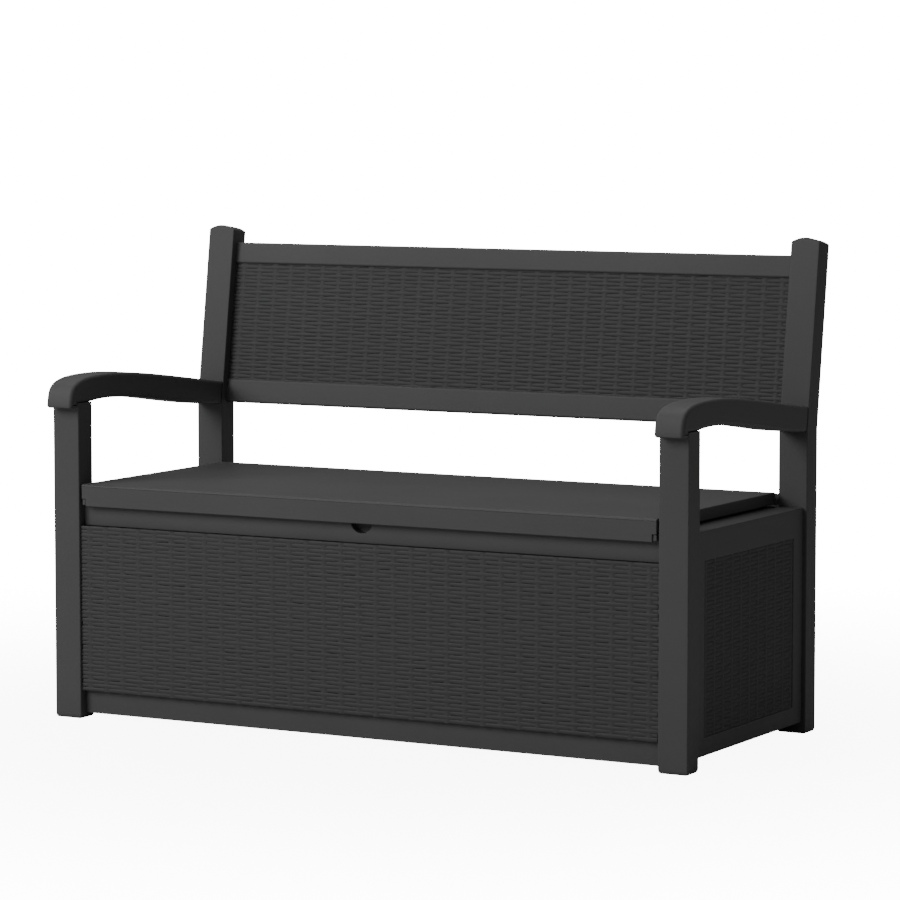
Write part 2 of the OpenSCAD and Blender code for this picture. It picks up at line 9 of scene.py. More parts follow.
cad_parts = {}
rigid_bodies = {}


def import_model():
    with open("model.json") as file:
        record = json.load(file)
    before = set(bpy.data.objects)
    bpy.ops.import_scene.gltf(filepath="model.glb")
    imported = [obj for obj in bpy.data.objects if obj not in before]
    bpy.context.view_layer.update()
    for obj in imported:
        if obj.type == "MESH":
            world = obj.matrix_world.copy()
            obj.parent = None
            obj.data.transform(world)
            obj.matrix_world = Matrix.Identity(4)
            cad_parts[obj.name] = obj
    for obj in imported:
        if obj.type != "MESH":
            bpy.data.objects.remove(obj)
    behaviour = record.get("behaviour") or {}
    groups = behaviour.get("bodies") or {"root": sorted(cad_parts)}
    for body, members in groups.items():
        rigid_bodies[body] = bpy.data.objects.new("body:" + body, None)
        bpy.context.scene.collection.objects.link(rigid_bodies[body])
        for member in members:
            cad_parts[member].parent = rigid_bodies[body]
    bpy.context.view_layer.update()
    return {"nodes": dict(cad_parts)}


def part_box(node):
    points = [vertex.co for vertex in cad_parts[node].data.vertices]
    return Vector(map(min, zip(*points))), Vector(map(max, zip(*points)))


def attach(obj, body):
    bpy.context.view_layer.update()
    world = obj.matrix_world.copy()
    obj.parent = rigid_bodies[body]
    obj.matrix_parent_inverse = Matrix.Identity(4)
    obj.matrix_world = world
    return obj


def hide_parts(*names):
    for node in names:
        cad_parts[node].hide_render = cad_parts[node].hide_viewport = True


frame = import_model()

bl_info = {
    "name": "Storage bench",
    "version": (1, 0, 0),
    "blender": (4, 5, 0),
    "location": "3D View > Sidebar > Bench",
    "description": "Builds a resin storage bench with woven panels and a lifting seat",
    "category": "Add Mesh",
}

# ---------------------------------------------------------------- places on the frame, in metres

POST_LOW, POST_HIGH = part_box("right_front_post")
X_IN = POST_LOW.x
X_OUT = POST_HIGH.x
POST_W = X_OUT - X_IN
POST_D = POST_HIGH.y - POST_LOW.y
Y_FRONT = POST_LOW.y
Y_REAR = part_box("right_rear_post")[0].y
TOP_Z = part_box("right_rear_post")[1].z
ARM_SEAT = 0.5915
BEND_Z = 0.557
LEAN = math.radians(8)
LEAN_L = (TOP_Z - BEND_Z) / math.cos(LEAN)
# front and back, and foot and top, of the backrest's rails and panel in the leaning frame
RAIL_U = (0.015, 0.037)
PANEL_U = (0.019, 0.028)
LOW_RAIL_V = (0.003, 0.0485)
TOP_RAIL_V = (LEAN_L - 0.0735, LEAN_L - 0.032)
# how deep the woven fields lie, where they start and end, and their plain borders
FIELD_IN = 0.003
FIELD_Z = (0.054, 0.363)
FIELD_GAP = 0.0003
SIDE_BORDER = (0.036, 0.040)
REAR_BORDER = 0.04
# small roundings and the rails' reach into the posts
CAP_EDGE = 0.001
RAIL_TENON = 0.002
STEEL_ROUND = 0.0003
RESIN_SHINE = 0.3
DUST = (0.10, 0.10, 0.098, 1.0)
SIDES = (("left", -1), ("right", 1))


def leaned(x, u, v):
    """A point in the leaning frame: u is depth from the rear posts' front, v is up the lean."""
    y = Y_REAR + u * math.cos(LEAN) + v * math.sin(LEAN)
    z = BEND_Z - u * math.sin(LEAN) + v * math.cos(LEAN)
    return Vector((x, y, z))


# ---------------------------------------------------------------- settings


def length(name, description, default, low, high):
    """A length setting, in metres."""
    return bpy.props.FloatProperty(name=name, description=description, default=default,
                                   min=low, max=high, unit="LENGTH")


def grey(name, description, *default):
    """A colour setting."""
    return bpy.props.FloatVectorProperty(name=name, description=description, subtype="COLOR",
                                         size=3, default=default, min=0, max=1)


def power(name, description, default):
    """A light's power, in watts."""
    return bpy.props.FloatProperty(name=name, description=description, default=default,
                                   min=0, unit="POWER")


class BenchShape(bpy.types.PropertyGroup):
    """Small roundings of the moulded pieces."""

    post_round: length("Post corners", "Radius of the posts' upright corners",
                       0.002, 0.001, 0.01)
    foot_round: length("Foot rounding", "How far each foot draws in at the floor",
                       0.008, 0.002, 0.015)
    cap_rise: length("Post cap", "Rise of the curved top of the rear posts",
                     0.0085, 0.002, 0.014)
    arm_round: length("Armrest edges", "Radius along the armrests' edges",
                      0.007, 0.002, 0.012)
    rail_round: length("Rail edges", "Radius along the backrest rails' edges",
                       0.004, 0.001, 0.008)
    panel_round: length("Panel edges", "Small rounding on the panels' and lid's edges",
                        0.0012, 0.0003, 0.002)


class BenchWeave(bpy.types.PropertyGroup):
    """The moulded wicker pattern."""

    pitch: length("Stake pitch", "Distance from one upright stake to the next",
                  0.0362, 0.02, 0.06)
    row: length("Row pitch", "Distance from one woven strand to the next",
                0.0072, 0.004, 0.015)
    relief: length("Relief", "Height of a strand where it passes over a stake",
                   0.0023, 0.0005, 0.006)
    bulge: bpy.props.FloatProperty(
        name="Bulge", description="How much a strand widens over a stake, in rows",
        default=0.03, min=0.0, max=0.4)
    stake: length("Stake width", "Width of an upright stake", 0.016, 0.003, 0.03)
    uneven: bpy.props.FloatProperty(
        name="Unevenness", description="How much one strand differs from the next",
        default=1.0, min=0.0, max=2.0)
    seed: bpy.props.IntProperty(
        name="Seed", description="Start of the random differences", default=7)


class BenchFinish(bpy.types.PropertyGroup):
    """Colours and surfaces."""

    resin: grey("Resin", "Colour of posts, arms, rails, panels and lid",
                0.052, 0.052, 0.052)
    weave: grey("Woven resin", "Colour of the strands at their crests",
                0.034, 0.034, 0.034)
    inside: grey("Inner resin", "Colour of the box's floor and the lid's lining",
                 0.018, 0.018, 0.018)
    steel: grey("Steel", "Colour of hinges and screws", 0.55, 0.56, 0.57)
    grain: bpy.props.FloatProperty(
        name="Grain depth", description="Strength of the moulded grain",
        default=0.22, min=0, max=1, subtype="FACTOR")


class BenchStudio(bpy.types.PropertyGroup):
    """Floor, light and camera."""

    key: power("Key light", "Power of the large front light", 315)
    top: power("Top light", "Power of the overhead light", 78)
    sky: bpy.props.FloatProperty(
        name="Surround", description="Strength of the white surround as a light",
        default=0.21, min=0, max=3)
    white: bpy.props.FloatProperty(
        name="White", description="Brightness of the surround as the camera sees it",
        default=17.0, min=0, max=40)
    floor: grey("Floor", "Colour of the floor", 0.86, 0.86, 0.86)
    lens: bpy.props.FloatProperty(
        name="Lens", description="Focal length in millimetres", default=156.37, min=20)


# ---------------------------------------------------------------- shader groups


def feed(tree, value, socket):
    """Links a socket into another, or sets a plain value."""
    if isinstance(value, bpy.types.NodeSocket):
        tree.links.new(value, socket)
    else:
        socket.default_value = value


def add_node(tree, kind, values=(), **options):
    """A node with some options, its inputs linked or set; returns it."""
    made = tree.nodes.new(kind)
    for key, value in options.items():
        setattr(made, key, value)
    for key, value in dict(values).items():
        feed(tree, value, made.inputs[key])
    return made


def math_node(tree, kind, *values):
    """A math node fed by sockets or numbers; returns its output."""
    return add_node(tree, "ShaderNodeMath", enumerate(values), operation=kind).outputs[0]


def noise_node(tree, vector, scale, detail=3.0, rough=0.55):
    """A noise texture on a vector; returns its value."""
    return add_node(tree, "ShaderNodeTexNoise", {
        "Vector": vector, "Scale": scale, "Detail": detail, "Roughness": rough}).outputs[0]


def blend_node(tree, factor, first, second):
    """A colour mix; returns its colour."""
    return add_node(tree, "ShaderNodeMix", {0: factor, 6: first, 7: second},
                    data_type="RGBA").outputs[2]


def shader_group(name, inputs, outputs):
    """A shader group with named sockets. Returns (tree, its input sockets, its output sockets)."""
    tree = bpy.data.node_groups.new(name, "ShaderNodeTree")
    for label, kind, value in inputs:
        socket = tree.interface.new_socket(name=label, in_out="INPUT", socket_type=kind)
        if value is not None:
            socket.default_value = value
    for label, kind in outputs:
        tree.interface.new_socket(name=label, in_out="OUTPUT", socket_type=kind)
    given = tree.nodes.new("NodeGroupInput").outputs
    return tree, given, tree.nodes.new("NodeGroupOutput").inputs


def grain_group(name):
    """Spark-eroded mould grain: a fine leathery stipple as a height."""
    tree, given, out = shader_group(
        name,
        [("Vector", "NodeSocketVector", None), ("Fineness", "NodeSocketFloat", 900.0),
         ("Waviness", "NodeSocketFloat", 0.25)],
        [("Height", "NodeSocketFloat")])
    pits = add_node(tree, "ShaderNodeTexVoronoi", {
        "Vector": given["Vector"], "Scale": given["Fineness"]}, feature="SMOOTH_F1")
    fine = noise_node(tree, given["Vector"],
                      math_node(tree, "MULTIPLY", given["Fineness"], 0.6), 2.0)
    wave = noise_node(tree, given["Vector"], 22.0, 2.0)
    height = math_node(tree, "MULTIPLY_ADD", pits.outputs["Distance"], 0.6,
                       math_node(tree, "MULTIPLY", fine, 0.6))
    height = math_node(tree, "MULTIPLY_ADD", wave, given["Waviness"], height)
    tree.links.new(height, out["Height"])
    return tree


def tone_group(name):
    """Slow cloudiness and fine specks of moulded colour, with a roughness to match."""
    tree, given, out = shader_group(
        name,
        [("Vector", "NodeSocketVector", None), ("Dark", "NodeSocketColor", None),
         ("Light", "NodeSocketColor", None), ("Cloud", "NodeSocketFloat", 6.0),
         ("Speck", "NodeSocketFloat", 700.0), ("Smooth", "NodeSocketFloat", 0.42),
         ("Matt", "NodeSocketFloat", 0.56)],
        [("Color", "NodeSocketColor"), ("Roughness", "NodeSocketFloat")])
    cloud = noise_node(tree, given["Vector"], given["Cloud"], 4.0, 0.5)
    speck = noise_node(tree, given["Vector"], given["Speck"], 1.0)
    mask = math_node(tree, "MULTIPLY_ADD", cloud, 0.7,
                     math_node(tree, "MULTIPLY", speck, 0.3))
    mask = add_node(tree, "ShaderNodeMapRange", {
        "Value": mask, "From Min": 0.3, "From Max": 0.7}).outputs[0]
    tree.links.new(blend_node(tree, mask, given["Dark"], given["Light"]), out["Color"])
    span = math_node(tree, "SUBTRACT", given["Matt"], given["Smooth"])
    tree.links.new(math_node(tree, "MULTIPLY_ADD", mask, span, given["Smooth"]),
                   out["Roughness"])
    return tree


def dust_group(name):
    """A trace of dust on faces that look up: a mask."""
    tree, given, out = shader_group(
        name,
        [("Vector", "NodeSocketVector", None), ("Amount", "NodeSocketFloat", 0.2)],
        [("Mask", "NodeSocketFloat")])
    facing = tree.nodes.new("ShaderNodeNewGeometry").outputs["Normal"]
    rise = add_node(tree, "ShaderNodeSeparateXYZ", {0: facing}).outputs[2]
    up = math_node(tree, "POWER", math_node(tree, "MAXIMUM", rise, 0.0), 3.0)
    patch = noise_node(tree, given["Vector"], 18.0, 5.0, 0.6)
    amount = math_node(tree, "MULTIPLY", up, given["Amount"])
    tree.links.new(math_node(tree, "MULTIPLY", amount, patch), out["Mask"])
    return tree


SHADER_GROUPS = {"Mould grain": grain_group, "Resin tone": tone_group,
                 "Settled dust": dust_group}


def group_node(tree, name, vector, **values):
    """Places a shared shader group, built when first asked for, and sets its inputs."""
    node = tree.nodes.new("ShaderNodeGroup")
    node.node_tree = bpy.data.node_groups.get(name) or SHADER_GROUPS[name](name)
    for label, value in dict(values, Vector=vector).items():
        feed(tree, value, node.inputs[label])
    return node.outputs


# ---------------------------------------------------------------- materials


def shade(colour, factor):
    """A colour made lighter or darker, with alpha."""
    return tuple(min(1.0, c * factor) for c in colour[:3]) + (1.0,)


def new_material(name):
    """An empty node material with its shader's inputs and object coordinates."""
    made = bpy.data.materials.new(name)
    made.use_nodes = True
    tree = made.node_tree
    shader = tree.nodes["Principled BSDF"].inputs
    place = tree.nodes.new("ShaderNodeTexCoord").outputs["Object"]
    return made, tree, shader, place


def add_bump(tree, shader, height, strength, distance):
    """Joins a height to the shader's normal."""
    bump = add_node(tree, "ShaderNodeBump", {
        "Strength": strength, "Distance": distance, "Height": height})
    tree.links.new(bump.outputs["Normal"], shader["Normal"])


def resin_material(name, colour, smooth=0.55, matt=0.68, dust=0.10):
    """Dyed-through moulded resin with a fine grain."""
    made, tree, shader, place = new_material(name)
    tone = group_node(tree, "Resin tone", place, Dark=shade(colour, 0.90),
                      Light=shade(colour, 1.10), Smooth=smooth, Matt=matt)
    settled = group_node(tree, "Settled dust", place, Amount=dust)
    colour = blend_node(tree, settled["Mask"], tone["Color"], DUST)
    tree.links.new(colour, shader["Base Color"])
    tree.links.new(tone["Roughness"], shader["Roughness"])
    grain = group_node(tree, "Mould grain", place, Fineness=850.0)
    add_bump(tree, shader, grain["Height"], bpy.context.scene.bench_finish.grain, 0.0006)
    shader["Specular IOR Level"].default_value = RESIN_SHINE
    return made


def woven_material():
    """Resin strands with painted light: a painted highlight at the stakes, painted shade midway
    and in the grooves between rows.
    """
    made, tree, shader, place = new_material("bench_woven_resin")
    finish = bpy.context.scene.bench_finish
    tone = group_node(tree, "Resin tone", place, Dark=shade(finish.weave, 0.90),
                      Light=shade(finish.weave, 1.12), Smooth=0.58, Matt=0.70, Cloud=9.0)
    # the crest value paints light into the colour: painted shade, down to 0.62 of the strand
    # colour, midway between stakes and in the grooves between rows, and a painted highlight at the
    # stakes
    crest = add_node(tree, "ShaderNodeAttribute", attribute_name="crest")
    depth = add_node(tree, "ShaderNodeMapRange", {
        "Value": crest.outputs["Fac"], "From Max": 0.9})
    painted_light_colour = blend_node(tree, depth.outputs[0], shade(finish.weave, 0.62), tone["Color"])
    tree.links.new(painted_light_colour, shader["Base Color"])
    tree.links.new(tone["Roughness"], shader["Roughness"])
    along = add_node(tree, "ShaderNodeMapping", {
        "Vector": place, "Scale": (30.0, 30.0, 1400.0)})
    lines = noise_node(tree, along.outputs[0], 1.0, 2.0)
    add_bump(tree, shader, lines, finish.grain, 0.0004)
    shader["Specular IOR Level"].default_value = RESIN_SHINE
    return made


def steel_material():
    """Zinc-plated steel: faint crystals and rubbed patches."""
    made, tree, shader, place = new_material("bench_steel")
    colour = bpy.context.scene.bench_finish.steel
    tone = group_node(tree, "Resin tone", place, Dark=shade(colour, 0.72),
                      Light=shade(colour, 1.12), Cloud=60.0, Speck=420.0,
                      Smooth=0.24, Matt=0.46)
    tree.links.new(tone["Color"], shader["Base Color"])
    tree.links.new(tone["Roughness"], shader["Roughness"])
    shader["Metallic"].default_value = 1.0
    grain = group_node(tree, "Mould grain", place, Fineness=1600.0, Waviness=0.5)
    add_bump(tree, shader, grain["Height"], 0.08, 0.0003)
    return made


def floor_material():
    """Pale matt studio floor with the faintest unevenness."""
    made, tree, shader, place = new_material("studio_floor")
    studio = bpy.context.scene.bench_studio
    tone = group_node(tree, "Resin tone", place, Dark=shade(studio.floor, 0.99),
                      Light=shade(studio.floor, 1.01), Cloud=1.5, Speck=90.0,
                      Smooth=0.78, Matt=0.86)
    tree.links.new(tone["Color"], shader["Base Color"])
    tree.links.new(tone["Roughness"], shader["Roughness"])
    # away from the bench the floor runs into the white surround
    away = add_node(tree, "ShaderNodeVectorMath", {0: place}, operation="LENGTH")
    fade = add_node(tree, "ShaderNodeMapRange", {
        "Value": away.outputs["Value"], "From Min": 0.4, "From Max": 2.6, "To Min": 0.5},
        interpolation_type="SMOOTHSTEP")
    glow = add_node(tree, "ShaderNodeEmission", {"Strength": studio.white})
    face = tree.nodes["Principled BSDF"].outputs[0]
    near = add_node(tree, "ShaderNodeMixShader", {
        0: fade.outputs[0], 1: face, 2: glow.outputs[0]})
    # to everything but the camera the floor is a dim grey, so it throws little light up
    dim = add_node(tree, "ShaderNodeBsdfDiffuse", {"Color": (0.65, 0.65, 0.65, 1.0)})
    path = tree.nodes.new("ShaderNodeLightPath")
    whole = add_node(tree, "ShaderNodeMixShader", {
        0: path.outputs["Is Camera Ray"], 1: dim.outputs[0], 2: near.outputs[0]})
    tree.links.new(whole.outputs[0], tree.nodes["Material Output"].inputs["Surface"])
    return made


def finish_of(kind):
    """The material for a record slot, built when first asked for."""
    made = bpy.data.materials.get(f"bench_{kind}")
    if made:
        return made
    finish = bpy.context.scene.bench_finish
    if kind == "resin":
        return resin_material("bench_resin", finish.resin)
    if kind == "inner_resin":
        return resin_material("bench_inner_resin", finish.inside, 0.50, 0.66, 0.16)
    if kind == "woven_resin":
        return woven_material()
    if kind == "steel":
        return steel_material()
    raise RuntimeError(f"no finish is called {kind}")


# ---------------------------------------------------------------- mesh helpers


def settle(piece, body, kind, *nodes):
    """Gives a finished piece its material slot and body, and hides the CAD nodes it stands for."""
    if nodes:
        flat = piece.modifiers.new("flat_faces_stay_flat", "WEIGHTED_NORMAL")
        flat.keep_sharp = True
    if not piece.data.materials:
        piece.data.materials.append(finish_of(kind))
    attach(piece, body)
    if nodes:
        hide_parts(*nodes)


def piece_from(bm, name, sharp=35, recalc=True):
    """A linked object from a bmesh, smooth with sharp edges past an angle in degrees."""
    bmesh.ops.remove_doubles(bm, verts=bm.verts, dist=1e-7)
    if recalc:
        bmesh.ops.recalc_face_normals(bm, faces=bm.faces)
    mesh = bpy.data.meshes.new(name)
    bm.to_mesh(mesh)
    bm.free()
    mesh.shade_smooth()
    mesh.set_sharp_from_angle(angle=math.radians(sharp))
    made = bpy.data.objects.new(name, mesh)
    bpy.context.scene.collection.objects.link(made)
    return made


def loft(bm, rings, first_cap=True, last_cap=True):
    """Skins rings of equal count and closes the ends. Returns the rings' vertices."""
    rows = [[bm.verts.new(p) for p in ring] for ring in rings]
    for low, high in zip(rows, rows[1:]):
        for i in range(len(low)):
            j = (i + 1) % len(low)
            bm.faces.new((low[i], low[j], high[j], high[i]))
    if first_cap:
        bm.faces.new(list(reversed(rows[0])))
    if last_cap:
        bm.faces.new(rows[-1])
    return rows


def softened(name, node, width, body, kind, angle=40):
    """A piece from a CAD node: its flat faces joined, its edges given a small rounding."""
    bm = bmesh.new()
    bm.from_mesh(frame["nodes"][node].data)
    bmesh.ops.remove_doubles(bm, verts=bm.verts, dist=2e-6)
    bmesh.ops.dissolve_limit(bm, angle_limit=math.radians(0.6), verts=bm.verts,
                             edges=bm.edges, use_dissolve_boundaries=False)
    made = piece_from(bm, name, 30, recalc=False)
    bevel = made.modifiers.new("rounding", "BEVEL")
    bevel.width = width
    bevel.segments = 2
    bevel.limit_method = "ANGLE"
    bevel.angle_limit = math.radians(angle)
    bevel.use_clamp_overlap = False
    settle(made, body, kind, node)


def quarter(steps):
    """Angles from 0 to a quarter turn."""
    return [math.pi / 2 * k / steps for k in range(steps + 1)]


def post_ring(inset, radius, across=14, corner=4):
    """Points (x, depth) round a post's section: a front chain, then a back chain of the same x."""
    half = POST_W / 2 - inset
    front = []
    for a in quarter(corner):
        front.append((-half + radius * (1 - math.cos(a)), radius * (1 - math.sin(a))))
    flat = half - radius
    for k in range(1, across):
        front.append((-flat + 2 * flat * k / across, 0.0))
    for a in quarter(corner):
        front.append((half - radius * (1 - math.sin(a)), radius * (1 - math.cos(a))))
    front = [(x, inset + d) for x, d in front]
    back = [(x, POST_D - d) for x, d in reversed(front)]
    return front + back


def bezier(a, b, c, d, steps, last=False):
    """Points along one Bezier curve; the last point is left out unless asked for."""
    made = []
    for k in range(steps + (1 if last else 0)):
        t = k / steps
        s = 1 - t
        made.append(tuple(s ** 3 * p + 3 * s * s * t * q + 3 * s * t * t * r + t ** 3 * w
                          for p, q, r, w in zip(a, b, c, d)))
    return made


def drawn_in(outline, distance):
    """A closed outline moved inwards by a distance, corner for corner."""
    area = sum(a[0] * b[1] - b[0] * a[1] for a, b in zip(outline, outline[1:] + outline[:1]))
    turn = 1.0 if area > 0 else -1.0
    made = []
    count = len(outline)
    for i in range(count):
        back = Vector(outline[i]) - Vector(outline[i - 1])
        ahead = Vector(outline[(i + 1) % count]) - Vector(outline[i])
        back.normalize()
        ahead.normalize()
        n1 = Vector((-back.y, back.x)) * turn
        n2 = Vector((-ahead.y, ahead.x)) * turn
        move = (n1 + n2) / max(0.35, 1 + n1.dot(n2)) * distance
        made.append((outline[i][0] + move.x, outline[i][1] + move.y))
    return made


# ---------------------------------------------------------------- posts, arms, backrest


class BENCH_OT_posts(bpy.types.Operator):
    """Builds the four posts with rounded corners, drawn-in feet and curved caps"""

    bl_idname = "bench.posts"
    bl_label = "Posts"

    def execute(self, context):
        shape = context.scene.bench_shape
        for side, sign in SIDES:
            mid = sign * (X_IN + X_OUT) / 2
            for place in ("front", "rear"):
                node = f"{side}_{place}_post"
                bm = bmesh.new()
                rings = []
                start = Y_FRONT if place == "front" else Y_REAR
                for a in quarter(4):
                    inset = shape.foot_round * (1 - math.sin(a)) * 0.55
                    z = shape.foot_round * (1 - math.cos(a))
                    rings.append([Vector((mid + x, start + d, z))
                                  for x, d in post_ring(inset, shape.post_round)])
                plain = post_ring(0.0, shape.post_round)
                if place == "front":
                    rings.append([Vector((mid + x, start + d, ARM_SEAT)) for x, d in plain])
                else:
                    rings.append([Vector((mid + x, start + d, BEND_Z)) for x, d in plain])
                    rings.extend(self.cap_rings(mid, shape))
                rows = loft(bm, rings, last_cap=False)
                top = rows[-1]
                chain = len(top) // 2
                back = list(reversed(top[chain:]))
                for i in range(chain - 1):
                    bm.faces.new((top[i], top[i + 1], back[i + 1], back[i]))
                settle(piece_from(bm, f"{node}_moulding"), "bench", "resin", node)
        return {"FINISHED"}

    @staticmethod
    def cap_rings(mid, shape):
        """Rings at the leaning top, whose surface is an arc from side to side."""
        half = POST_W / 2
        arc = (half * half + shape.cap_rise ** 2) / (2 * shape.cap_rise)
        made = []
        for a in quarter(3):
            ring = []
            inset = CAP_EDGE * (1 - math.cos(a))
            for x, d in post_ring(inset, shape.post_round):
                drop = arc - math.sqrt(arc * arc - x * x) + CAP_EDGE * (1 - math.sin(a))
                v = LEAN_L - drop
                h = (v - d * math.sin(LEAN)) * math.cos(LEAN)
                ring.append(Vector((mid + x, Y_REAR + d + math.tan(LEAN) * h, BEND_Z + h)))
            made.append(ring)
        return made


class BENCH_OT_armrests(bpy.types.Operator):
    """Builds the two arched armrests with rolled fronts and rounded edges"""

    bl_idname = "bench.armrests"
    bl_label = "Armrests"

    def execute(self, context):
        shape = context.scene.bench_shape
        top = bezier((-24, 588), (-18.5, 625), (-19, 641), (100, 641), 16)
        top += bezier((100, 641), (205, 641), (347, 618), (497, 599.5), 18, True)
        low = bezier((496.7, 554), (328, 563.5), (168, 606), (45, 591.5), 22, True)
        # the rear end follows the lean of its post, and the front hooks over the post's face
        outline = top + [(502.7, 599.5), (496.7, 557)] + low
        outline += [(-0.3, 591.5), (-0.3, 584.5), (-2.3, 582.5), (-20, 582.5), (-23.2, 584.4)]
        outline = [(Y_FRONT + y / 1000, z / 1000) for y, z in outline]
        for side, _ in SIDES:
            node = f"{side}_armrest"
            low_x, high_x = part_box(node)[0].x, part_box(node)[1].x
            bm = bmesh.new()
            radius = shape.arm_round
            rings = [(low_x + radius * (1 - math.cos(a)),
                      drawn_in(outline, radius * (1 - math.sin(a)))) for a in quarter(5)]
            far = [(high_x + low_x - x, ring) for x, ring in reversed(rings)]
            loft(bm, [[Vector((x, y, z)) for y, z in ring] for x, ring in rings + far])
            settle(piece_from(bm, f"{node}_moulding", 40), "bench", "resin", node)
        return {"FINISHED"}


class BENCH_OT_backrest(bpy.types.Operator):
    """Builds the two leaning rails and the panel between them"""

    bl_idname = "bench.backrest"
    bl_label = "Backrest rails and panel"

    def execute(self, context):
        radius = context.scene.bench_shape.rail_round
        for node, span in (("backrest_low_rail", LOW_RAIL_V), ("backrest_top_rail", TOP_RAIL_V)):
            bm = bmesh.new()
            corners = [(RAIL_U[0], span[0], 180), (RAIL_U[1], span[0], 270),
                       (RAIL_U[1], span[1], 0), (RAIL_U[0], span[1], 90)]
            section = []
            for u, v, start in corners:
                cu = u + (radius if u == RAIL_U[0] else -radius)
                cv = v + (radius if v == span[0] else -radius)
                for k in range(5):
                    a = math.radians(start + 90 * k / 4)
                    section.append((cu + radius * math.cos(a), cv + radius * math.sin(a)))
            ends = [-(X_IN + RAIL_TENON), X_IN + RAIL_TENON]
            loft(bm, [[leaned(x, u, v) for u, v in section] for x in ends])
            settle(piece_from(bm, f"{node}_moulding"), "bench", "resin", node)
        softened("backrest_panel_core", "backrest_panel", 0.0006, "bench", "woven_resin")
        return {"FINISHED"}


# ---------------------------------------------------------------- box, lid, hinges


class BENCH_OT_box(bpy.types.Operator):
    """Builds the four box panels and the floor panel with softened edges"""

    bl_idname = "bench.box"
    bl_label = "Box panels and floor"

    def execute(self, context):
        width = context.scene.bench_shape.panel_round
        for node in ("front_panel", "rear_panel", "left_side_panel", "right_side_panel"):
            softened(f"{node}_moulding", node, width, "bench", "resin")
        softened("floor_panel_moulding", "floor_panel", width, "bench", "inner_resin")
        return {"FINISHED"}


class BENCH_OT_lid(bpy.types.Operator):
    """Builds the lifting seat: its shell, its lining and two stiffening bars"""

    bl_idname = "bench.lid"
    bl_label = "Seat lid"

    def execute(self, context):
        width = context.scene.bench_shape.panel_round
        softened("seat_lid_shell", "seat_lid", width, "lid", "resin", 50)
        softened("lid_inner_panel_lining", "lid_inner_panel", width, "lid", "inner_resin")
        for node in ("front_lid_bar", "rear_lid_bar"):
            softened(f"{node}_tube", node, 0.0015, "lid", "steel")
        return {"FINISHED"}


class BENCH_OT_hinges(bpy.types.Operator):
    """Builds the hinge brackets, leaves and pins in plated steel"""

    bl_idname = "bench.hinges"
    bl_label = "Hinges"

    def execute(self, context):
        for place in ("left", "centre", "right"):
            for part, body in (("hinge_bracket", "bench"), ("hinge_pin", "bench"),
                               ("lid_leaf", "lid")):
                node = f"{place}_{part}"
                softened(f"{node}_plated", node, STEEL_ROUND, body, "steel")
        return {"FINISHED"}


# ---------------------------------------------------------------- geometry node trees


class NodeTree:
    """Writes a geometry tree: named inputs, short calls for its nodes."""

    def __init__(self, name, inputs):
        self.tree = bpy.data.node_groups.new(name, "GeometryNodeTree")
        self.ids = {}
        face = self.tree.interface
        face.new_socket(name="Geometry", in_out="OUTPUT", socket_type="NodeSocketGeometry")
        face.new_socket(name="Geometry", in_out="INPUT", socket_type="NodeSocketGeometry")
        for label, kind in inputs:
            made = face.new_socket(name=label, in_out="INPUT", socket_type=kind)
            self.ids[label] = made.identifier
        self.given = self.tree.nodes.new("NodeGroupInput").outputs
        self.out = self.tree.nodes.new("NodeGroupOutput").inputs["Geometry"]

    def node(self, kind, values=(), **options):
        """A node with some options and inputs; returns it."""
        return add_node(self.tree, kind, values, **options)

    def calc(self, operation, *values):
        """A math node; returns its output."""
        return math_node(self.tree, operation, *values)

    def split(self, vector):
        """The three numbers of a vector."""
        return self.node("ShaderNodeSeparateXYZ", {0: vector}).outputs

    def join(self, x, y, z):
        """A vector of three numbers."""
        return self.node("ShaderNodeCombineXYZ", {0: x, 1: y, 2: z}).outputs[0]


def grown(tree, values, name):
    """Runs a geometry tree on an empty object and keeps the result as a plain mesh."""
    seed = bpy.data.objects.new(f"{name}_seed", bpy.data.meshes.new(f"{name}_seed"))
    bpy.context.scene.collection.objects.link(seed)
    modifier = seed.modifiers.new("tree", "NODES")
    modifier.node_group = tree.tree
    for label, value in values.items():
        modifier[tree.ids[label]] = value
    graph = bpy.context.evaluated_depsgraph_get()
    graph.update()
    mesh = bpy.data.meshes.new_from_object(seed.evaluated_get(graph), depsgraph=graph)
    bpy.data.objects.remove(seed)
    mesh.name = name
    made = bpy.data.objects.new(name, mesh)
    bpy.context.scene.collection.objects.link(made)
    return made


